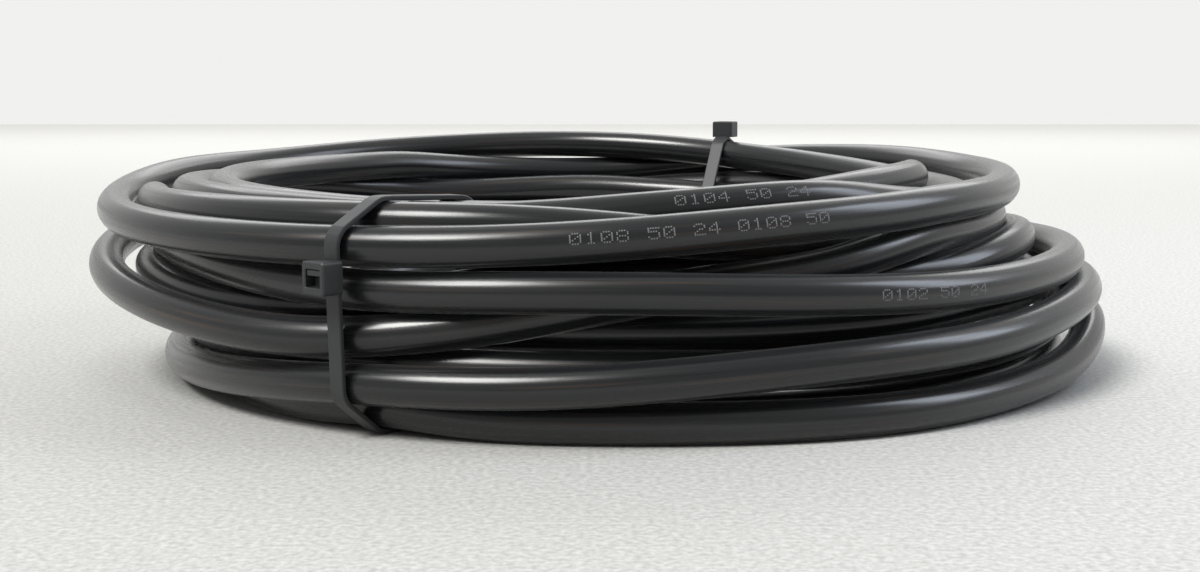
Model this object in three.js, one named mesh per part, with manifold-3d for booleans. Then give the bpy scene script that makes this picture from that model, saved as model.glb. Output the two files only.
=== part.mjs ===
// A hand-wound coil of black coaxial cable, lying flat and held by two cable ties.
// Millimetres, +Z up, resting on z = 0. The front of the coil faces -Y.
import * as THREE from 'three';
import { mergeVertices } from 'three/addons/utils/BufferGeometryUtils.js';
import Module from 'manifold-3d';

const wasm = await Module();
wasm.setup();

// The cable, and how its turns lie side by side and on top of each other.
const CABLE_D = 10.3;
const TURN_PITCH = 10.5;
const LAYERS = 6;
const COLUMNS = 3;
const COIL_OUTER_R = 146;
// The stack leans: its lowest turn lies this much further right than its highest.
const COIL_LEAN = 29;

// Each turn shows as a bump. A bump's arc is cut into equal steps, and one of them lies flat.
const ARC_STEP = 22.5;
const BUMP_HALF_ARC = 2.5 * ARC_STEP;
const ROUND_SEGMENTS = 48;

// The two nylon cable ties.
const STRAP_WIDTH = 4.8;
const STRAP_THICKNESS = 1.3;
const STRAP_GAP = 0.3;
const STRAP_SIDE_GAP = 0.3;
const STRAP_SUNK = 0.8;
const STRAP_CORNER_STEPS = 7;
const CORE_CORNER_R = 6;
const HEAD_WIDTH = 8;
const HEAD_LENGTH = 8.2;
const HEAD_HEIGHT = 6;
const HEAD_GAP = 0.3;
const POCKET_WIDTH = 5.4;
const POCKET_LENGTH = 4.6;
const POCKET_DEPTH = 3.2;
const TAIL_WIDTH = 4.6;
const TAIL_BELOW_FACE = 0.1;
const OVERLAP = 0.4;

// Where the ties sit: the turn round the coil's axis, and the twist out of the radial plane, in degrees.
const FRONT_TIE = { name: 'front_cable_tie', azimuth: -113.3, twist: -17.5, headOnTop: false, headZ: 40.5 };
const REAR_TIE = { name: 'rear_cable_tie', azimuth: 67, twist: 0, headOnTop: true, headZ: 0 };

// Derived sizes. The flat middle step of a bump lies a little inside the round cable.
const CABLE_R = CABLE_D / 2;
const BUMP_REACH = CABLE_R * Math.cos(THREE.MathUtils.degToRad(ARC_STEP / 2));
const COIL_HEIGHT = (LAYERS - 1) * TURN_PITCH + 2 * BUMP_REACH;
const COIL_WIDTH = (COLUMNS - 1) * TURN_PITCH + 2 * BUMP_REACH;
const COIL_INNER_R = COIL_OUTER_R - COIL_WIDTH;
const COIL_MID_R = COIL_OUTER_R - COIL_WIDTH / 2;
const NOTCH_DEPTH = STRAP_THICKNESS + STRAP_GAP + STRAP_SUNK;

// Materials.
const pvcJacket = () => new THREE.MeshStandardMaterial({
  name: 'black_pvc_jacket', color: '#1c1d1f', roughness: 0.42, metalness: 0 });
const nylon = () => new THREE.MeshStandardMaterial({
  name: 'black_nylon', color: '#26282a', roughness: 0.6, metalness: 0 });

const toManifold = (geometry) => {
  const bare = geometry.clone();
  bare.deleteAttribute('normal');
  bare.deleteAttribute('uv');
  const merged = mergeVertices(bare, 1e-4);
  return new wasm.Manifold(new wasm.Mesh({
    numProp: 3,
    vertProperties: new Float32Array(merged.attributes.position.array),
    triVerts: new Uint32Array(merged.index.array),
  }));
};

const toGeometry = (manifold) => {
  const mesh = manifold.getMesh();
  const geometry = new THREE.BufferGeometry();
  geometry.setAttribute('position', new THREE.BufferAttribute(mesh.vertProperties, 3));
  geometry.setIndex(new THREE.BufferAttribute(mesh.triVerts, 1));
  geometry.computeVertexNormals();
  return geometry;
};

// How far the ring's centre lies along X at a height: right at the bottom, left at the top.
const leanAt = (z) => COIL_LEAN * (0.5 - z / COIL_HEIGHT);

// One turn's bump in the profile: an arc round the cable's centre, between two angles in degrees.
const bump = (column, layer, fromAngle, toAngle) => {
  const r = COIL_INNER_R + BUMP_REACH + column * TURN_PITCH;
  const z = BUMP_REACH + layer * TURN_PITCH;
  const steps = Math.round((toAngle - fromAngle) / ARC_STEP);
  return Array.from({ length: steps + 1 }, (_, i) => {
    const angle = THREE.MathUtils.degToRad(fromAngle + i * ARC_STEP);
    return new THREE.Vector2(r + CABLE_R * Math.cos(angle), z + CABLE_R * Math.sin(angle));
  });
};

// The bundle's outline: up the outer side, in over the top, down the bore and out along the bottom.
const coilProfile = () => {
  const lastColumn = COLUMNS - 1;
  const lastLayer = LAYERS - 1;
  const half = BUMP_HALF_ARC;
  const points = [];
  points.push(...bump(lastColumn, 0, -90 - half, half));
  for (let layer = 1; layer < lastLayer; layer += 1) points.push(...bump(lastColumn, layer, -half, half));
  points.push(...bump(lastColumn, lastLayer, -half, 90 + half));
  for (let column = lastColumn - 1; column > 0; column -= 1) {
    points.push(...bump(column, lastLayer, 90 - half, 90 + half));
  }
  points.push(...bump(0, lastLayer, 90 - half, 180 + half));
  for (let layer = lastLayer - 1; layer > 0; layer -= 1) points.push(...bump(0, layer, 180 - half, 180 + half));
  points.push(...bump(0, 0, 180 - half, 270 + half));
  for (let column = 1; column < lastColumn; column += 1) points.push(...bump(column, 0, 270 - half, 270 + half));
  points.push(points[0].clone());
  return points;
};

// The turned ring, leaned to the left by shifting each height along X.
const coilRing = () => {
  const geometry = new THREE.LatheGeometry(coilProfile(), ROUND_SEGMENTS);
  geometry.rotateX(Math.PI / 2);
  const position = geometry.attributes.position;
  for (let i = 0; i < position.count; i += 1) position.setX(i, position.getX(i) + leanAt(position.getZ(i)));
  return toManifold(geometry);
};

// The upright plane that a tie lies in: a point at the middle of the bundle and an outward direction.
const tiePlane = (tie) => {
  const azimuth = THREE.MathUtils.degToRad(tie.azimuth);
  const outward = azimuth + THREE.MathUtils.degToRad(tie.twist);
  return {
    middle: new THREE.Vector2(COIL_MID_R * Math.cos(azimuth), COIL_MID_R * Math.sin(azimuth)),
    outward: new THREE.Vector2(Math.cos(outward), Math.sin(outward)),
  };
};

// Where the leaned ring's radius r crosses a tie's plane at height z, as [distance outward, z].
const inPlane = (plane, r, z) => {
  const fromCentre = plane.middle.clone().sub(new THREE.Vector2(leanAt(z), 0));
  const along = fromCentre.dot(plane.outward);
  return [-along + Math.sqrt(along * along - fromCentre.lengthSq() + r * r), z];
};

// A rounded loop round the bundle, lying `grow` outside the bottom of the notch.
const loopAround = (plane, grow) => {
  const inset = NOTCH_DEPTH - grow;
  const corner = CORE_CORNER_R + grow;
  const outer = COIL_OUTER_R - inset - corner;
  const inner = COIL_INNER_R + inset + corner;
  const top = COIL_HEIGHT - inset - corner;
  const bottom = inset + corner;
  const corners = [[outer, bottom, -90], [outer, top, 0], [inner, top, 90], [inner, bottom, 180]];
  return corners.flatMap(([r, z, start]) => Array.from({ length: STRAP_CORNER_STEPS + 1 }, (_, i) => {
    const angle = THREE.MathUtils.degToRad(start + (90 * i) / STRAP_CORNER_STEPS);
    return inPlane(plane, r + corner * Math.cos(angle), z + corner * Math.sin(angle));
  }));
};

// An outline in a tie's plane, given a width across it and moved into place.
const acrossPlane = (plane, outline, holes, width) => {
  const shape = new THREE.Shape(outline.map(([s, z]) => new THREE.Vector2(s, z)));
  shape.holes = holes.map((hole) => new THREE.Path(hole.map(([s, z]) => new THREE.Vector2(s, z))));
  const geometry = new THREE.ExtrudeGeometry(shape, { depth: width, bevelEnabled: false });
  const along = new THREE.Vector3(plane.outward.x, plane.outward.y, 0);
  const up = new THREE.Vector3(0, 0, 1);
  const across = along.clone().cross(up);
  const place = new THREE.Matrix4().makeBasis(along, up, across);
  place.setPosition(new THREE.Vector3(plane.middle.x, plane.middle.y, 0).addScaledVector(across, -width / 2));
  return toManifold(geometry.applyMatrix4(place));
};

const rectangle = (s0, s1, z0, z1) => [[s0, z0], [s1, z0], [s1, z1], [s0, z1]];

// A box in a tie's plane, given along the bundle's side (`length`) and away from it (`depth`).
const headBox = (tie, plane, alongFrom, alongTo, outFrom, outTo, width) => {
  const outline = tie.headOnTop
    ? rectangle(alongFrom, alongTo, outFrom, outTo)
    : rectangle(outFrom, outTo, alongFrom, alongTo);
  return acrossPlane(plane, outline, [], width);
};

// The room that a strap takes out of the bundle: all but the middle of the cable stack.
const notch = (tie) => {
  const plane = tiePlane(tie);
  const frame = loopAround(plane, NOTCH_DEPTH + TURN_PITCH);
  return acrossPlane(plane, frame, [loopAround(plane, 0)], STRAP_WIDTH + 2 * STRAP_SIDE_GAP);
};

// The middle of the head along the bundle's side, and the height of its inner face over the turns.
const headPlace = (tie, plane) => {
  if (tie.headOnTop) {
    const sides = [COIL_OUTER_R, COIL_INNER_R].map((r) => inPlane(plane, r, COIL_HEIGHT)[0]);
    return { centre: (sides[0] + sides[1]) / 2, face: COIL_HEIGHT + HEAD_GAP };
  }
  const ends = [tie.headZ - HEAD_LENGTH / 2, tie.headZ + HEAD_LENGTH / 2];
  const cornerStandsOut = (HEAD_WIDTH / 2) * Math.tan(THREE.MathUtils.degToRad(Math.abs(tie.twist)));
  const crest = Math.max(...ends.map((z) => inPlane(plane, COIL_OUTER_R, z)[0]));
  return { centre: tie.headZ, face: crest + cornerStandsOut + HEAD_GAP };
};

// The foot of the head: it starts inside the strap, follows the strap's slant and ends inside the head.
const headFoot = (tie, plane, centre, face) => {
  const strapOut = NOTCH_DEPTH - STRAP_GAP - STRAP_THICKNESS + OVERLAP;
  const from = centre - HEAD_LENGTH / 2;
  const to = centre + HEAD_LENGTH / 2;
  if (tie.headOnTop) {
    return acrossPlane(plane, rectangle(from, to, COIL_HEIGHT - strapOut, face + OVERLAP), [], STRAP_WIDTH);
  }
  const onStrap = [from, to].map((z) => inPlane(plane, COIL_OUTER_R - strapOut, z));
  const outline = [onStrap[0], [face + OVERLAP, from], [face + OVERLAP, to], onStrap[1]];
  return acrossPlane(plane, outline, [], STRAP_WIDTH);
};

// One tie, moulded in one piece: the strap, its head, the slot in the head and the trimmed tail in it.
const cableTie = (tie) => {
  const plane = tiePlane(tie);
  const outside = loopAround(plane, STRAP_GAP + STRAP_THICKNESS);
  const strap = acrossPlane(plane, outside, [loopAround(plane, STRAP_GAP)], STRAP_WIDTH);
  const { centre, face } = headPlace(tie, plane);
  const box = (from, to, outFrom, outTo, width) => headBox(tie, plane, centre + from, centre + to,
    outFrom, outTo, width);
  const top = face + HEAD_HEIGHT;
  const halfHead = HEAD_LENGTH / 2;
  const halfPocket = POCKET_LENGTH / 2;
  const head = box(-halfHead, halfHead, face, top, HEAD_WIDTH);
  const pocket = box(-halfPocket, halfPocket, top - POCKET_DEPTH, top + OVERLAP, POCKET_WIDTH);
  const tailFrom = halfPocket - STRAP_GAP - STRAP_THICKNESS;
  const tail = box(tailFrom, tailFrom + STRAP_THICKNESS, top - POCKET_DEPTH - OVERLAP, top - TAIL_BELOW_FACE,
    TAIL_WIDTH);
  return strap.add(headFoot(tie, plane, centre, face)).add(head).subtract(pocket).add(tail);
};

const piece = (name, manifold, material) => {
  const mesh = new THREE.Mesh(toGeometry(manifold), material);
  mesh.name = name;
  return mesh;
};

const group = new THREE.Group();
group.name = 'coaxial_cable_coil';

const ties = [FRONT_TIE, REAR_TIE];
let coil = coilRing();
for (const tie of ties) coil = coil.subtract(notch(tie));
group.add(piece('cable_coil', coil, pvcJacket()));
for (const tie of ties) group.add(piece(tie.name, cableTie(tie), nylon()));

export default group;
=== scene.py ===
# %% [markdown]
# # A hand-wound coil of black coaxial cable
# The object is one long piece of cable, wound by hand into a loose ring that lies flat, and two nylon ties.
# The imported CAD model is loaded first, because it fixes where everything is and how large it is.

# %% Load the frame
import bpy
import numpy as np
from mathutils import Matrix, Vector


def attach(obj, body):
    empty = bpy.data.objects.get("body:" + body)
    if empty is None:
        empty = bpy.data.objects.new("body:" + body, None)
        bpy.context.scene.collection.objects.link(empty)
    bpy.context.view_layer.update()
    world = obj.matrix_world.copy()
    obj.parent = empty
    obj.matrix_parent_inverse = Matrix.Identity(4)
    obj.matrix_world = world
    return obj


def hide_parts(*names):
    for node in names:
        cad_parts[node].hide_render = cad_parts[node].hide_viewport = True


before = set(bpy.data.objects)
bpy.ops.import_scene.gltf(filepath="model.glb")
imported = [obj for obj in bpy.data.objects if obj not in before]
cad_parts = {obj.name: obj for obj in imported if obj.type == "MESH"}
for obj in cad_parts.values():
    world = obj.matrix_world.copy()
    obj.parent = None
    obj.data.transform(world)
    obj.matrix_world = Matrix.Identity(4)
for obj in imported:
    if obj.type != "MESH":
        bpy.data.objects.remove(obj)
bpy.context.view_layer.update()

MM = 0.001

# %% [markdown]
# ## The camera
# The photograph was taken from just above the coil and close to it, so its perspective is strong: the near turns
# look much thicker than the far ones. A camera at the real distance gives that, where a longer lens further off
# would flatten it. Distance, height and tilt follow from the size of the near and far turns.

# %% Place the camera
IMAGE_WIDTH_PX = 1200
FOCAL_LENGTH_PX = 1590
CAMERA_DISTANCE = 512 * MM
CAMERA_HEIGHT = 86 * MM
CAMERA_PITCH = np.radians(7.205)

camera_data = bpy.data.cameras.new("photo_camera")
camera_data.sensor_width = 36
camera_data.lens = camera_data.sensor_width * FOCAL_LENGTH_PX / IMAGE_WIDTH_PX
camera_data.clip_start = 0.01
camera = bpy.data.objects.new("photo_camera", camera_data)
camera.location = (0, -CAMERA_DISTANCE, CAMERA_HEIGHT)
camera.rotation_euler = (np.pi / 2 - CAMERA_PITCH, 0, 0)
bpy.context.collection.objects.link(camera)
bpy.context.scene.camera = camera
print("camera lens in mm:", round(camera_data.lens, 1))

# %% [markdown]
# ## The cable's route
# A coil wound by hand isn't a helix: each turn wanders in and out, up and down, and crosses its neighbours.
# A few stations on each turn say where it passes, as an angle round the coil, a distance from its axis and a
# height. A smooth spline joins them, turn after turn, so the cable is one unbroken line from end to end.

# %% Stations of the turns: angle in degrees, distance from the axis and height in mm
CABLE_D = 10.3
CABLE_R = CABLE_D / 2

TURNS = [
    # The outer end lies on top at the left.
    [(192, 138, 51.5), (205, 137.5, 52), (227, 136, 52.5), (243, 133.5, 52.5), (266, 128, 51.5), (285, 123, 47.5),
     (300, 119, 45.5), (315, 116, 44), (345, 112, 42), (405, 117, 46.5), (428, 121.5, 47), (460, 131.5, 41.5),
     (500, 144, 44)],
    # It sags at the left and climbs behind the next turn.
    [(178, 153, 38), (196, 152.5, 33), (212, 150, 29), (226, 147, 25.8), (243, 141, 24.4), (256, 134.5, 28.3),
     (266, 131, 31.6), (285, 126, 38.3), (311, 124, 44.5), (343, 122.5, 47), (428, 131.5, 38), (460, 134, 31.3),
     (500, 135, 34)],
    # The middle turn of the front.
    [(180, 135.5, 42), (210, 135.5, 40), (241, 138, 36), (266, 139.5, 37.2), (286, 140.5, 36.1), (302, 142, 34.6),
     (315, 142.5, 34), (344, 145, 35.5), (428, 134, 27), (460, 137, 21), (500, 139, 26)],
    # An inner turn that climbs to the right.
    [(180, 139.5, 33), (200, 139, 32), (243, 129.5, 32), (266, 121.5, 38.5), (285, 116, 38.5), (301, 117, 38),
     (325, 129, 40), (343, 130.3, 41.5), (428, 124, 22)],
    # The turn above the floor.
    [(180, 131, 7), (196, 131.5, 6.5), (210, 133, 7.5), (221, 136, 9), (240, 140.5, 12.4), (266, 142, 14.8),
     (280, 142.5, 17.2), (301, 145, 19.9), (315, 147.4, 21.2), (327, 148.5, 23.5), (344, 150.3, 26),
     (428, 134, 17.5)],
    # The turn on the floor.
    [(180, 120.5, 5.2), (200, 120.5, 5.2), (221, 127, 5.2), (240, 134, 5.2), (266, 136, 5.2), (285, 139.5, 5.2),
     (301, 144, 5.2), (315, 144.5, 5.4), (329, 147.5, 7), (338, 150, 9.5), (346, 152, 14), (360, 152, 17),
     (428, 134, 7)],
    # Inside it, on the floor.
    [(180, 110, 5.2), (243, 122, 5.2), (270, 125, 5.2), (301, 130, 5.2), (330, 134, 5.3), (350, 140, 6.5),
     (365, 142.5, 8), (428, 123.5, 5.5)],
    # The second column.
    [(180, 121, 16), (243, 131, 17), (266, 132, 17), (301, 134, 16), (330, 138, 16), (345, 141.5, 18.5),
     (362, 143.5, 21), (385, 142, 20.5), (428, 121, 33)],
    # Hidden in the middle.
    [(180, 125, 27), (243, 120, 24), (266, 122, 25.3), (285, 127, 25.3), (301, 132, 25.8), (315, 134, 28),
     (343, 135, 28), (428, 111, 44), (460, 117, 44), (480, 124, 45), (500, 130.5, 49)],
    # On top at the left, low at the right and over the others at the back.
    [(180, 128.5, 53.5), (200, 128, 54), (225, 126, 53.3), (243, 123.5, 52.2), (266, 118, 52.6), (285, 117, 55),
     (305, 116, 54), (330, 114.5, 51.5), (360, 113.5, 50.5), (405, 114, 54.5), (422, 120, 58.5), (440, 128, 61.2),
     (458, 137, 62.4), (473, 141.4, 61.4), (490, 145.3, 59.5), (508, 148.1, 57.1), (527, 149.2, 55.8)],
    # The top turn of the front.
    [(180, 150.5, 52.6), (195, 149.7, 49.8), (225, 146, 47.5), (242.5, 142.6, 47.3), (266, 137.5, 48.8),
     (292, 132.2, 52.6), (307.6, 129.6, 53.7), (343, 125.6, 56.1), (360, 125.1, 57), (374, 125.6, 57.9),
     (390, 127.2, 59), (405, 129.1, 58.7), (425, 132.5, 56.5), (445, 134.5, 52.3), (460, 133, 51.8),
     (480, 127.5, 54), (500, 121.5, 55.5), (520, 119.5, 55.5)],
    # The inner end lies on top at the right.
    [(180, 119, 55), (200, 118, 54), (225, 115, 52.8), (243, 113, 51.8), (266, 108, 51.8), (285, 105.5, 53.2),
     (303, 102.6, 55.8), (316, 101, 57.6), (328, 100.5, 58.5), (337, 100.5, 59)],
]
print("turns:", len(TURNS), "stations:", sum(map(len, TURNS)))

# %% Join the stations by a spline
# The spline is drawn in many short straight pieces first, and then cut into equal steps.
ROUTE_STEP = 6.0
FINE_POINTS = 9000


def spline(at, values, wanted):
    """Natural cubic spline: the second slopes at the stations make the line bend evenly through each of them."""
    gap = np.diff(at)
    rise = np.diff(values, axis=0) / gap[:, None]
    n = len(at)
    band = np.eye(n)
    band[range(1, n - 1), range(0, n - 2)] = gap[:-1]
    band[range(1, n - 1), range(1, n - 1)] = 2 * (gap[:-1] + gap[1:])
    band[range(1, n - 1), range(2, n)] = gap[1:]
    right = np.zeros_like(values)
    right[1:-1] = 6 * np.diff(rise, axis=0)
    second = np.linalg.solve(band, right)
    k = np.clip(np.searchsorted(at, wanted) - 1, 0, n - 2)
    h, a, b = gap[k, None], (at[k + 1] - wanted)[:, None], (wanted - at[k])[:, None]
    curve = (second[k] * a**3 + second[k + 1] * b**3) / (6 * h)
    return curve + (values[k] / h - second[k] * h / 6) * a + (values[k + 1] / h - second[k + 1] * h / 6) * b


def length_along(points):
    """The distance from the first point to each point, adding up the straight pieces between them."""
    return np.concatenate([[0], np.cumsum(np.linalg.norm(np.diff(points, axis=0), axis=1))])


def even_steps(points, step):
    """Points at equal distances along the same line."""
    along = length_along(points)
    wanted = np.linspace(0, along[-1], int(round(along[-1] / step)) + 1)
    return np.stack([np.interp(wanted, along, points[:, k]) for k in range(3)], 1)


def drawn_route():
    """Every turn adds 360 degrees to its stations, and angle, distance and height become x, y and z."""
    stations = np.array([(a + 360 * turn, r, z) for turn, row in enumerate(TURNS) for a, r, z in row], float)
    angle = np.radians(stations[:, 0])
    fine = np.linspace(angle[0], angle[-1], FINE_POINTS)
    r, z = spline(angle, stations[:, 1:], fine).T
    return even_steps(np.stack([r * np.cos(fine), r * np.sin(fine), z], 1), ROUTE_STEP)


route = drawn_route()
print("drawn length in m:", round(length_along(route)[-1] * MM, 2))

# %% [markdown]
# ## Turns that lie against each other
# The listed stations leave turns that pass through each other. On the real coil they push each other aside,
# and the cable's stiffness spreads every push over its neighbours. The same is done here: in each round, points
# closer than a diameter move apart, each point is drawn a little to its station's place, the line is
# straightened a little, and nothing sinks into the floor.

# %% Where the ties sit, and how the coil is lifted there
STRAP_THICKNESS = 1.3
STRAP_CLEARANCE = 0.1
# The strap under the coil lifts the cable over this distance to each side of the tie's plane.
LIFT_REACH = 16
# The bundle lies within this distance of the tie's middle.
BUNDLE_REACH = 60

# Each tie: where it stands round the coil, how far its plane is turned there, and how high its head sits.
# A head without a height sits on top of the bundle.
FRONT_TIE = {"name": "front_cable_tie", "azimuth": -113.3, "twist": -17.5, "head_z": 40.5}
REAR_TIE = {"name": "rear_cable_tie", "azimuth": 67, "twist": 0, "head_z": None}
TIE_PLANE_RADIUS = 130.5


def tie_axes(tie):
    """The tie's plane: a point on the floor in it, the direction outward, up, and the direction across it."""
    azimuth = np.radians(tie["azimuth"])
    outward = azimuth + np.radians(tie["twist"])
    middle = TIE_PLANE_RADIUS * np.array([np.cos(azimuth), np.sin(azimuth), 0])
    out = np.array([np.cos(outward), np.sin(outward), 0])
    up = np.array([0.0, 0.0, 1.0])
    return middle, out, up, np.cross(out, up)


def floor_under(points):
    """The height that the cable rests on: the floor, and near a tie a bell-shaped rise over its strap."""
    height = np.zeros(len(points))
    for tie in (FRONT_TIE, REAR_TIE):
        middle, out, _, across = tie_axes(tie)
        off = points - middle
        bell = np.exp(-((off @ across) / LIFT_REACH) ** 2) * (np.abs(off @ out) < BUNDLE_REACH)
        height = np.maximum(height, (STRAP_THICKNESS + 2 * STRAP_CLEARANCE) * bell)
    return height


# %% Let the turns push each other aside
ROUNDS = 260
# Only the early rounds pull home, and they straighten more than once.
EARLY_SHARE = 0.85
EARLY_STRAIGHTENINGS = 3
# The share of an overlap that a round takes away, which is less where many neighbours push.
PUSH_SHARE = 0.9
PUSH_CROWDING = 0.6
# The share of the way home that a point is drawn, and the share of its bend that is taken out.
PULL_HOME = 0.015
STIFFNESS = 0.055
# Two points push each other only where they lie side by side, within this share of a step.
BESIDE_SHARE = 0.6

# Points nearer than this along the cable don't push each other. Those further apart than the search's reach
# aren't expected to touch before the next search, a few rounds later.
TURNS_APART = 60
ROUNDS_PER_SEARCH = 8
SEARCH_REACH = 1.6 * CABLE_D + ROUTE_STEP
MEASURE_REACH = 25.0
SEARCH_BLOCK = 200


def close_pairs(points, reach):
    """Index pairs of points that are near each other in space and far apart along the cable."""
    found = []
    for start in range(0, len(points), SEARCH_BLOCK):
        block = points[start:start + SEARCH_BLOCK]
        i, j = np.nonzero(np.abs(block[:, None] - points[None]).max(2) < reach)
        i = i + start
        far = np.abs(i - j) > TURNS_APART / ROUTE_STEP
        found.append(np.stack([i[far], j[far]]))
    return np.concatenate(found, axis=1)


def straighten(points, amount, times):
    """Each point moves against the fourth difference of its neighbours, which evens out the bend."""
    for _ in range(times):
        bend = points[4:] - 4 * points[3:-1] + 6 * points[2:-2] - 4 * points[1:-3] + points[:-4]
        points = points.copy()
        points[2:-2] -= amount * bend
    return points


def side_gaps(points, pairs):
    """For each pair, the way from one point to the other, square to the cable, and its length."""
    heading = np.gradient(points, axis=0)
    heading /= np.linalg.norm(heading, axis=1)[:, None]
    i, j = pairs
    way = points[j] - points[i]
    along = (way * heading[i]).sum(1)
    beside = np.abs(along) < BESIDE_SHARE * ROUTE_STEP
    i = i[beside]
    square = way[beside] - along[beside, None] * heading[i]
    return i, square, np.linalg.norm(square, axis=1)


def settle(points):
    """Rounds of pushing apart, pulling home and straightening. The last rounds don't pull home."""
    home = points.copy()
    for count in range(ROUNDS):
        if count % ROUNDS_PER_SEARCH == 0:
            pairs = close_pairs(points, SEARCH_REACH)
        i, square, gap = side_gaps(points, pairs)
        lap = np.clip(CABLE_D - gap, 0, None)
        push = np.zeros_like(points)
        pushes = np.zeros(len(points))
        np.add.at(push, i, -(square / np.maximum(gap, 1e-6)[:, None]) * (lap * 0.5)[:, None])
        np.add.at(pushes, i, lap > 0)
        points = points + PUSH_SHARE * push / np.maximum(1, pushes * PUSH_CROWDING)[:, None]
        late = count > ROUNDS * EARLY_SHARE
        if not late:
            points = points + PULL_HOME * (home - points)
        points = straighten(points, STIFFNESS, 1 if late else EARLY_STRAIGHTENINGS)
        points[:, 2] = np.maximum(points[:, 2], CABLE_R + floor_under(points))
    return points


route = settle(route)
least_gap = side_gaps(route, close_pairs(route, MEASURE_REACH))[2].min()
print("least distance between turns in mm:", round(least_gap, 2), "of", CABLE_D)

# %% [markdown]
# ## The cable
# The cable is a round tube carried along that line. It could be a curve with a round bevel, but a grid of our own
# lets the surface keep two facts for its material: how far along the cable a point is, and where on the
# section it is. Both ends are cut square, and the cut shows the layers: jacket, braid, insulation and conductor.

# %% Carry a round section along the route
RING_STEP = 4.0
SIDES = 28
JACKET, BRAID, INSULATION, CONDUCTOR = range(4)

# The cut end from its rim to its middle: distance in from the cut, radius, and the layer that starts there.
CUT_END = [
    (0.0, 5.0, JACKET),
    (0.0, 4.0, BRAID),
    (0.12, 3.6, INSULATION),
    (0.0, 1.15, CONDUCTOR),
    (-0.1, 1.0, CONDUCTOR),
]
RIM_ROUNDING = 0.2


def unit(vectors):
    """Each vector divided by its own length."""
    return vectors / np.linalg.norm(vectors, axis=-1, keepdims=True)


def section_axes(points):
    """The cable's heading at each point, and the two directions square to it, one of them level."""
    heading = unit(np.gradient(points, axis=0))
    side = unit(np.cross(heading, [0.0, 0.0, 1.0]))
    return heading, side, np.cross(side, heading)


def new_piece(name, vertices, faces, materials, slots=None, smooth=True):
    """A mesh object at the origin. Vertices come in mm."""
    mesh = bpy.data.meshes.new(name)
    mesh.from_pydata((np.asarray(vertices) * MM).tolist(), [], [list(face) for face in faces])
    for material in materials:
        mesh.materials.append(material)
    if slots is not None:
        mesh.polygons.foreach_set("material_index", np.asarray(slots, np.int32))
    shading = np.broadcast_to(smooth, len(mesh.polygons)).astype(bool)
    mesh.polygons.foreach_set("use_smooth", shading)
    mesh.update()
    obj = bpy.data.objects.new(name, mesh)
    bpy.context.collection.objects.link(obj)
    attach(obj, "root")
    return obj


def grid_faces(rows, columns, closed_rows=False):
    """Four-cornered faces between neighbouring rows of a grid whose columns close into a ring."""
    row = np.arange(rows if closed_rows else rows - 1)[:, None]
    column = np.arange(columns)[None]
    after, beside = (row + 1) % rows, (column + 1) % columns
    corners = [row * columns + column, row * columns + beside, after * columns + beside, after * columns + column]
    return np.stack(corners, -1).reshape(-1, 4)


# %% [markdown]
# ## Materials
# The jacket is extruded PVC: black, with a satin skin that gives long soft highlights along each turn. Handling
# leaves faint streaks that run with the cable. The ties are moulded black nylon, duller and a little greyer.

# %% Material helpers


def linear(hex_colour):
    """An sRGB hex colour as linear red, green, blue and alpha."""
    srgb = np.array([int(hex_colour[k:k + 2], 16) for k in (1, 3, 5)]) / 255
    return (*np.where(srgb <= 0.04045, srgb / 12.92, ((srgb + 0.055) / 1.055) ** 2.4).tolist(), 1.0)


def add_node(owner, kind, settings=None, **inputs):
    """A node of a material or a world, with its settings and inputs: values, or (node, output) pairs to link."""
    node = owner.node_tree.nodes.new(kind)
    for key, value in (settings or {}).items():
        setattr(node, key, value)
    for key, value in inputs.items():
        socket = node.inputs[key.replace("_", " ")]
        if isinstance(value, tuple) and isinstance(value[0], bpy.types.Node):
            owner.node_tree.links.new(value[0].outputs[value[1]], socket)
        else:
            socket.default_value = value
    return node


def new_material(name, **shader_inputs):
    """A material with one shader, whose sockets take plain values first."""
    material = bpy.data.materials.new(name)
    material.use_nodes = True
    material.node_tree.nodes.clear()
    shader = add_node(material, "ShaderNodeBsdfPrincipled", **shader_inputs)
    add_node(material, "ShaderNodeOutputMaterial", Surface=(shader, "BSDF"))
    return material, shader


def link(owner, source, output, target, socket):
    """One link between two nodes that are already there."""
    owner.node_tree.links.new(source.outputs[output], target.inputs[socket])


def ramp_node(material, source, output, stops):
    """A colour ramp with stops of (place, hex colour)."""
    ramp = add_node(material, "ShaderNodeValToRGB", Fac=(source, output))
    elements = ramp.color_ramp.elements
    while len(elements) < len(stops):
        elements.new(0.5)
    for element, (place, colour) in zip(elements, stops):
        element.position = place
        element.color = linear(colour)
    return ramp


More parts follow.
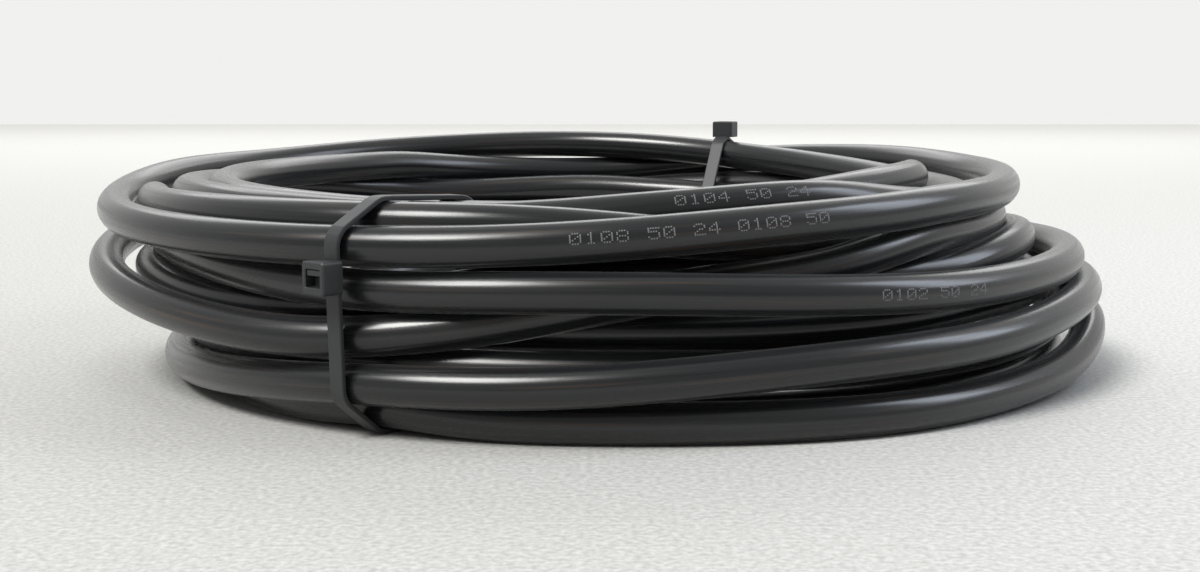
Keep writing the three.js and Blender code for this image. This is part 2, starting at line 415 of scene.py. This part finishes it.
# %% Satin PVC jacket
def satin_pvc():
    """Black extruded PVC: streaks about 60 mm long and 1 mm wide that run with the cable, and a fine skin."""
    material, shader = new_material("extruded_satin_pvc", Roughness=0.34, IOR=1.53,
                                    Sheen_Weight=0.12, Sheen_Roughness=0.45)
    straight = add_node(material, "ShaderNodeAttribute", {"attribute_name": "straight_place"})
    stretched = add_node(material, "ShaderNodeMapping", Vector=(straight, "Vector"), Scale=(16, 900, 900))
    streaks = add_node(material, "ShaderNodeTexNoise", Vector=(stretched, "Vector"), Scale=1.0, Detail=3.0)
    colour = ramp_node(material, streaks, "Fac", [(0.35, "#141517"), (0.6, "#1a1b1d"), (0.77, "#33261b")])
    link(material, colour, "Color", shader, "Base Color")
    dull = add_node(material, "ShaderNodeMapRange", Value=(streaks, "Fac"), From_Min=0.3, From_Max=0.75,
                    To_Min=0.2, To_Max=0.33)
    link(material, dull, "Result", shader, "Roughness")
    skin = add_node(material, "ShaderNodeTexNoise", Vector=(straight, "Vector"), Scale=900.0, Detail=2.0)
    bump = add_node(material, "ShaderNodeBump", Height=(skin, "Fac"), Strength=0.12, Distance=0.00004)
    link(material, bump, "Normal", shader, "Normal")
    return material


def plain_material(name, colour, roughness, metallic=0.0, ior=1.5):
    """A finish that is the same all over."""
    material, shader = new_material(name, Roughness=roughness, Metallic=metallic, IOR=ior)
    shader.inputs["Base Color"].default_value = linear(colour)
    return material


def moulded_nylon():
    """Black nylon with the fine matte grain of its mould, about 0.3 mm."""
    material, shader = new_material("moulded_black_nylon", Roughness=0.5, IOR=1.53)
    place = add_node(material, "ShaderNodeTexCoord")
    grain = add_node(material, "ShaderNodeTexNoise", Vector=(place, "Object"), Scale=3000.0, Detail=2.0)
    colour = ramp_node(material, grain, "Fac", [(0.3, "#202224"), (0.7, "#2a2c2e")])
    link(material, colour, "Color", shader, "Base Color")
    bump = add_node(material, "ShaderNodeBump", Height=(grain, "Fac"), Strength=0.25, Distance=0.00005)
    link(material, bump, "Normal", shader, "Normal")
    return material


jacket_pvc = satin_pvc()
marking_ink = plain_material("pale_marking_ink", "#6c6d6f", 0.6)
nylon = moulded_nylon()
cut_layers = [
    jacket_pvc,
    plain_material("woven_copper_braid", "#b87a4e", 0.45, metallic=1.0),
    plain_material("white_polyethylene", "#e4e2da", 0.5),
    plain_material("bare_copper_wire", "#c98a5b", 0.3, metallic=1.0),
]
print("materials:", [material.name for material in cut_layers + [marking_ink, nylon]])

# %% [markdown]
# ## The cable's mesh
# Every ring of the tube has as many points as the next, so the tube is one grid of four-cornered faces. Each cut
# end is a few more rings, with the radius and the layer of their own, down to the conductor's flat face.

# %% Build the cable
SPLINE_POINTS = 12000


def build_cable(points):
    """Rings round the line: centre + radius * (side * cos(angle) + up * sin(angle)). The cut's rings close in."""
    heading, side, up = section_axes(points)
    rows = [(0, inset, r) for inset, r, _ in reversed(CUT_END)] + [(0, RIM_ROUNDING, CABLE_R)]
    rows += [(k, 0.0, CABLE_R) for k in range(1, len(points) - 1)]
    rows += [(-1, -RIM_ROUNDING, CABLE_R)] + [(-1, -inset, r) for inset, r, _ in CUT_END]
    index = np.array([row[0] for row in rows])
    shift = np.array([row[1] for row in rows])
    radius = np.array([row[2] for row in rows])
    angle = np.linspace(0, 2 * np.pi, SIDES, endpoint=False)
    cos, sin = np.cos(angle), np.sin(angle)
    around = side[index][:, None] * cos[None, :, None] + up[index][:, None] * sin[None, :, None]
    centre = points[index] + heading[index] * shift[:, None]
    vertices = (centre[:, None] + radius[:, None, None] * around).reshape(-1, 3)
    # The same grid as if the cable lay straight, for the material's streaks.
    along = length_along(points)[index]
    straight = np.broadcast_arrays(along[:, None], radius[:, None] * cos[None], radius[:, None] * sin[None])
    straight = np.stack(straight, -1).reshape(-1, 3)

    faces = grid_faces(len(rows), SIDES)
    layers = [layer for _, _, layer in CUT_END[:-1]]
    slots = np.repeat(layers[::-1] + [JACKET] * (len(points) + 1) + layers, SIDES)
    band = np.arange(len(rows) - 1)
    smooth = np.repeat((band >= len(CUT_END)) & (band < len(band) - len(CUT_END)), SIDES)
    last = len(band) * SIDES
    caps = [list(range(SIDES))[::-1], list(range(last, last + SIDES))]
    cable = new_piece("coaxial_cable", vertices, faces.tolist() + caps, cut_layers,
                      np.concatenate([slots, [CONDUCTOR, CONDUCTOR]]), np.concatenate([smooth, [False, False]]))
    attribute = cable.data.attributes.new("straight_place", "FLOAT_VECTOR", "POINT")
    attribute.data.foreach_set("vector", (straight * MM).astype(np.float32).ravel())
    return cable


def smoothed(points, step):
    """A spline through the route's points, cut again into equal steps."""
    along = length_along(points)
    return even_steps(spline(along, points, np.linspace(0, along[-1], SPLINE_POINTS)), step)


centreline = smoothed(route, RING_STEP)
cable = build_cable(centreline)

# %% [markdown]
# ## Printed marks
# A printer in the cable works sprays rows of pale dots on the jacket as it runs past. Here they are plain
# numbers. Each dot is a low square pad that follows the round jacket, placed by its length along the cable and
# its angle round the section, as a cell of a five by seven grid.

# %% Dot-printed numbers
DIGITS = {
    "0": "01110 10001 10011 10101 11001 10001 01110",
    "1": "00100 01100 00100 00100 00100 00100 01110",
    "2": "01110 10001 00001 00110 01000 10000 11111",
    "3": "11110 00001 00001 01110 00001 00001 11110",
    "4": "00010 00110 01010 10010 11111 00010 00010",
    "5": "11111 10000 11110 00001 00001 10001 01110",
    "8": "01110 10001 10001 01110 10001 10001 01110",
    " ": "00000 00000 00000 00000 00000 00000 00000",
}
DOT_PITCH_ALONG = 0.6
DOT_PITCH_AROUND = 0.42
DOT_SIZE = 0.34
DOT_HEIGHT = 0.03

# Each row: its turn, the angle round the coil where it starts, the angle on the section, and its numbers.
MARKS = [(10, 267, 1, "0108 50 24 0108 50"), (9, 279, 18, "0104 50 24"), (2, 298, -9, "0102 50 24")]


def dot_cells(text):
    """Columns and rows of the dots of a line of digits, six columns to a digit."""
    grid = np.array([[[int(bit) for bit in row] + [0] for row in DIGITS[sign].split()] for sign in text])
    sign, row, column = np.nonzero(grid)
    return sign * 6 + column, 6 - row


def print_marks(points):
    """Pads on the jacket: point(length, angle) = centre(length) + radius * (side * cos(angle) + up * sin(angle))."""
    along = length_along(points)
    turned = np.degrees(np.unwrap(np.arctan2(points[:, 1], points[:, 0])))
    turned += TURNS[0][0][0] - turned[0]
    _, side, up = section_axes(points)
    square = [(-1, -1), (1, -1), (1, 1), (-1, 1)]
    corner = np.array([(a, b, top) for top in (0, 1) for a, b in square])
    places = []
    for turn, start, angle, text in MARKS:
        column, row = dot_cells(text)
        length = np.interp(start + 360 * turn, turned, along) + column * DOT_PITCH_ALONG
        about = np.radians(angle) + row * DOT_PITCH_AROUND / CABLE_R
        length = length[:, None] + corner[None, :, 0] * DOT_SIZE / 2
        about = about[:, None] + corner[None, :, 1] * DOT_SIZE / 2 / CABLE_R
        radius = CABLE_R + np.where(corner[:, 2] > 0, DOT_HEIGHT, -DOT_HEIGHT)
        centre, level, upward = (np.stack([np.interp(length, along, values[:, k]) for k in range(3)], -1)
                                 for values in (points, side, up))
        outward = level * np.cos(about)[..., None] + upward * np.sin(about)[..., None]
        places.append((centre + radius[None, :, None] * outward).reshape(-1, 3))
    vertices = np.concatenate(places)
    pad = np.array([(0, 3, 2, 1), (4, 5, 6, 7), (0, 1, 5, 4), (1, 2, 6, 5), (2, 3, 7, 6), (3, 0, 4, 7)])
    faces = (np.arange(0, len(vertices), 8)[:, None, None] + pad).reshape(-1, 4)
    return new_piece("printed_numbers", vertices, faces.tolist(), [marking_ink], smooth=False)


marks = print_marks(centreline)
print("printed dots:", len(marks.data.polygons) // 6)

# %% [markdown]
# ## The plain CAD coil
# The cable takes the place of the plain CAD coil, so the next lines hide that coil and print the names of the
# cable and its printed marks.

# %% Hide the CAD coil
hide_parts("cable_coil")
print("cord:", cable.name, "with", marks.name)

# %% [markdown]
# ## The cable ties
# A tie's strap is pulled tight round the bundle, so it lies on whatever stands out furthest and runs straight
# between. That is the bundle's convex outline in the tie's plane. For each direction in the plane, the furthest
# point of the cable's surface is found, and the strap's line passes just outside it.

# %% Strap round the bundle
STRAP_WIDTH = 4.8
STRAP_EDGE = 0.25
STRAP_STEPS = 180

# How finely the cable's surface is looked at where the strap passes over it.
LOOK_STEP = 0.5
LOOK_SIDES = 48
LOOK_REACH = 50


def surface_in_plane(tie):
    """Points of the cable's surface within the strap's width of the tie's plane, as outward and up."""
    middle, out, up, across = tie_axes(tie)
    fine = even_steps(centreline, LOOK_STEP)
    off = fine - middle
    near = (np.abs(off @ across) < STRAP_WIDTH + CABLE_R) & (np.abs(off @ out) < LOOK_REACH)
    _, side, above = section_axes(fine)
    angle = np.linspace(0, 2 * np.pi, LOOK_SIDES, endpoint=False)
    ring = side[near][:, None] * np.cos(angle)[None, :, None] + above[near][:, None] * np.sin(angle)[None, :, None]
    points = (fine[near][:, None] + CABLE_R * ring).reshape(-1, 3) - middle
    points = points[np.abs(points @ across) < STRAP_WIDTH / 2]
    return np.stack([points @ out, points @ up], 1)


def strap_line(tie):
    """For each direction: the furthest surface point that way, plus the clearance and half the strap."""
    surface = surface_in_plane(tie)
    angle = np.linspace(0, 2 * np.pi, STRAP_STEPS, endpoint=False)
    normal = np.stack([np.cos(angle), np.sin(angle)], 1)
    furthest = surface[np.argmax(surface @ normal.T, axis=0)]
    return furthest + normal * (STRAP_CLEARANCE + STRAP_THICKNESS / 2), normal


def ribbon(line, normal, width, thickness):
    """A flat section with its edges taken off, carried along the line. Columns go round the section."""
    half_w, half_t = width / 2, thickness / 2
    inner_w, inner_t = half_w - STRAP_EDGE, half_t - STRAP_EDGE
    corner = np.array([(half_w, inner_t), (inner_w, half_t), (-inner_w, half_t), (-half_w, inner_t),
                       (-half_w, -inner_t), (-inner_w, -half_t), (inner_w, -half_t), (half_w, -inner_t)])
    flat = line[:, None] + normal[:, None] * corner[None, :, 1:]
    across = np.broadcast_to(corner[None, :, 0], flat.shape[:2])
    return flat, across


def into_space(tie, flat, across):
    """Points given as outward, up and across become x, y and z."""
    middle, out, up, side = tie_axes(tie)
    return middle + flat[..., :1] * out + flat[..., 1:] * up + across[..., None] * side


def build_strap(tie):
    """The ribbon along the tie's closed line, as one piece."""
    line, normal = strap_line(tie)
    flat, across = ribbon(line, normal, STRAP_WIDTH, STRAP_THICKNESS)
    vertices = into_space(tie, flat, across).reshape(-1, 3)
    faces = grid_faces(len(line), 8, closed_rows=True)
    strap = new_piece(tie["name"] + "_strap", vertices, faces, [nylon], smooth=False)
    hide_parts(tie["name"])
    return line, normal


# %% [markdown]
# ## The heads of the ties
# A tie's head is a small box with a slot right through it. The strap's end passes through the slot, a sprung pawl
# holds its teeth, and the end is trimmed flush. Boxes cut from each other would do, but a ring of the head's
# outline, carried up the outside, over the top and down the slot, gives soft edges and the slot in one surface.

# %% Head, slot and trimmed tail
HEAD_WIDTH = 8.0
HEAD_LENGTH = 8.2
HEAD_HEIGHT = 6.0
HEAD_SUNK = 0.3
HEAD_EDGE = 0.35
HEAD_CORNER = 0.9
RIM_CORNER = 0.6
SLOT_WIDTH = 5.2
SLOT_LENGTH = 4.4
SLOT_EDGE = 0.2
SLOT_CORNER = 0.3
SLOT_RIM_CORNER = 0.4
TAIL_WIDTH = 4.6
TAIL_CORNER = 0.2
TAIL_BELOW_RIM = 0.4
PAWL_LENGTH = 2.2
PAWL_BELOW_RIM = 2.6


def head_place(tie, line, normal):
    """Where the head sits on the strap: its middle, the way it stands out and the way the strap runs there."""
    if tie["head_z"] is None:
        middle = np.array([line[:, 0].mean(), line[:, 1].max()])
        return middle, np.array([0.0, 1.0])
    outer = np.nonzero(normal[:, 0] > 0.5)[0]
    order = outer[np.argsort(line[outer, 1])]
    outward = np.interp(tie["head_z"], line[order, 1], line[order, 0])
    return np.array([outward, tie["head_z"]]), np.array([1.0, 0.0])


def rounded_box_ring(half_length, half_width, corner, steps=4):
    """A rectangle's outline with rounded corners, as (along the strap, across it)."""
    angle = np.concatenate([np.linspace(k * np.pi / 2, (k + 1) * np.pi / 2, steps + 1) for k in range(4)])
    quadrant = np.repeat(np.arange(4), steps + 1)
    sign_a = np.array([1, -1, -1, 1])[quadrant]
    sign_b = np.array([1, 1, -1, -1])[quadrant]
    return np.stack([sign_a * (half_length - corner) + corner * np.cos(angle),
                     sign_b * (half_width - corner) + corner * np.sin(angle)], 1)


def closed_shell(tie, name, place, rings, closed_rows):
    """Rings of (along, across) at heights over the strap, joined into one surface."""
    middle, stands_out = place
    runs = np.array([-stands_out[1], stands_out[0]])
    flat = np.stack([middle + ring[:, :1] * runs + height * stands_out for ring, height in rings])
    across = np.stack([ring[:, 1] for ring, _ in rings])
    vertices = into_space(tie, flat, across).reshape(-1, 3)
    count = len(rings[0][0])
    faces = grid_faces(len(rings), count, closed_rows).tolist()
    if not closed_rows:
        last = (len(rings) - 1) * count
        faces += [list(range(count))[::-1], list(range(last, last + count))]
    piece = new_piece(name, vertices, faces, [nylon], smooth=False)
    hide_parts(tie["name"])
    return piece


def build_head(tie, line, normal):
    """The head is rings up its outside, over the rim and down its slot. Tail and pawl are blocks in the slot."""
    place = head_place(tie, line, normal)
    low = STRAP_THICKNESS / 2 - HEAD_SUNK
    high = low + HEAD_HEIGHT
    outside = rounded_box_ring(HEAD_LENGTH / 2, HEAD_WIDTH / 2, HEAD_CORNER)
    rim = rounded_box_ring(HEAD_LENGTH / 2 - HEAD_EDGE, HEAD_WIDTH / 2 - HEAD_EDGE, RIM_CORNER)
    slot_rim = rounded_box_ring(SLOT_LENGTH / 2 + SLOT_EDGE, SLOT_WIDTH / 2 + SLOT_EDGE, SLOT_RIM_CORNER)
    slot_wall = rounded_box_ring(SLOT_LENGTH / 2, SLOT_WIDTH / 2, SLOT_CORNER)
    rings = [(outside, low), (outside, high - HEAD_EDGE), (rim, high),
             (slot_rim, high), (slot_wall, high - SLOT_EDGE), (slot_wall, low)]
    closed_shell(tie, tie["name"] + "_head", place, rings, closed_rows=True)

    tail = rounded_box_ring(STRAP_THICKNESS / 2, TAIL_WIDTH / 2, TAIL_CORNER, steps=2)
    tail = tail + [SLOT_LENGTH / 2 - STRAP_THICKNESS / 2 - SLOT_EDGE, 0]
    pawl = rounded_box_ring(PAWL_LENGTH / 2, TAIL_WIDTH / 2 - SLOT_EDGE, TAIL_CORNER, steps=2)
    pawl = pawl + [PAWL_LENGTH / 2 - SLOT_LENGTH / 2, 0]
    for part, ring, below_rim in (("_tail", tail, TAIL_BELOW_RIM), ("_pawl", pawl, PAWL_BELOW_RIM)):
        closed_shell(tie, tie["name"] + part, place, [(ring, low), (ring, high - below_rim)], closed_rows=False)


for tie in (FRONT_TIE, REAR_TIE):
    line, normal = build_strap(tie)
    build_head(tie, line, normal)
    print(tie["name"], "strap reaches outward and up in mm:", line.min(0).round(1), line.max(0).round(1))

# %% [markdown]
# ## Floor, background and light
# The coil lies on a pale board with a fine grain, against white. One window-like lamp, high on the left and a
# little in front, gives the long highlights on the upper flank of each turn. A cooler one on the right gives the
# thinner bluish ones. The undersides stay dark, because there each turn sees only its neighbours. A third lamp,
# far behind the coil, brightens the floor there.
# A wide backdrop would stand in the way of a look from behind, so the white background is the world's colour.

# %% Floor
FLOOR_HALF = 3.0
# A hair below the cable, so that no faces lie in one plane.
FLOOR_Z = -0.1 * MM


def grained_board():
    """A pale board whose grain is about 1.5 mm across."""
    material, shader = new_material("pale_grained_board", Roughness=0.8)
    place = add_node(material, "ShaderNodeTexCoord")
    grain = add_node(material, "ShaderNodeTexNoise", Vector=(place, "Object"), Scale=650.0, Detail=3.0)
    colour = ramp_node(material, grain, "Fac", [(0.3, "#a6a6a4"), (0.7, "#c4c4c2")])
    link(material, colour, "Color", shader, "Base Color")
    bump = add_node(material, "ShaderNodeBump", Height=(grain, "Fac"), Strength=0.3, Distance=0.0004)
    link(material, bump, "Normal", shader, "Normal")
    return material


corners = [(x * FLOOR_HALF, y * FLOOR_HALF, FLOOR_Z) for x, y in ((-1, -1), (1, -1), (1, 1), (-1, 1))]
floor_mesh = bpy.data.meshes.new("floor")
floor_mesh.from_pydata(corners, [], [(0, 1, 2, 3)])
floor_mesh.materials.append(grained_board())
floor = bpy.data.objects.new("floor", floor_mesh)
bpy.context.collection.objects.link(floor)
print("floor half width in m:", FLOOR_HALF)

# %% Lamps and background


def aimed(lamp, place, aim):
    """Stands a lamp at a place and turns it to face a point."""
    lamp.location = place
    lamp.rotation_euler = (Vector(place) - Vector(aim)).to_track_quat("Z", "Y").to_euler()
    bpy.context.collection.objects.link(lamp)


def window_light(name, place, aim, spread_degrees, strength, colour):
    """Light from far away that fills a round patch of the sky, so its highlights are as wide as a window's."""
    data = bpy.data.lights.new(name, "SUN")
    data.angle = np.radians(spread_degrees)
    data.energy = strength
    data.color = linear(colour)[:3]
    aimed(bpy.data.objects.new(name, data), place, aim)


def soft_lamp(name, place, aim, size, watts, colour):
    """A rectangular lamp that faces the point it is aimed at."""
    data = bpy.data.lights.new(name, "AREA")
    data.shape = "RECTANGLE"
    data.size, data.size_y = size
    data.energy = watts
    data.color = linear(colour)[:3]
    aimed(bpy.data.objects.new(name, data), place, aim)


COIL_MIDDLE = (0, 0, 0.03)
window_light("left_window", (-0.42, -0.42, 0.8), COIL_MIDDLE, spread_degrees=24, strength=3.4, colour="#fffefb")
soft_lamp("cool_side_lamp", (0.75, -0.05, 0.55), COIL_MIDDLE, size=(0.3, 0.5), watts=3.0, colour="#dfe8f6")
soft_lamp("far_floor_lamp", (0, 1.9, 1.3), (0, 1.4, 0), size=(3.0, 1.0), watts=22.0, colour="#ffffff")

# The room glows brighter beyond the coil than behind the photographer. The camera itself sees plain white.
BACKGROUND = linear("#f1f1ef")
GLOW_BEHIND_CAMERA = 0.36
GLOW_BEYOND_COIL = 0.9
GLOW_REACH = 0.8
world = bpy.data.worlds.new("white_studio")
world.use_nodes = True
direction = add_node(world, "ShaderNodeTexCoord")
axes = add_node(world, "ShaderNodeSeparateXYZ", Vector=(direction, "Generated"))
glow = add_node(world, "ShaderNodeMapRange", Value=(axes, "Y"), From_Min=-GLOW_REACH, From_Max=GLOW_REACH,
                To_Min=GLOW_BEHIND_CAMERA, To_Max=GLOW_BEYOND_COIL)
seen = add_node(world, "ShaderNodeLightPath")
strength = add_node(world, "ShaderNodeMapRange", Value=(seen, "Is Camera Ray"), To_Min=(glow, "Result"), To_Max=1.0)
background = world.node_tree.nodes["Background"]
background.inputs["Color"].default_value = BACKGROUND
link(world, strength, "Result", background, "Strength")
bpy.context.scene.world = world
bpy.context.scene.view_settings.view_transform = "Standard"
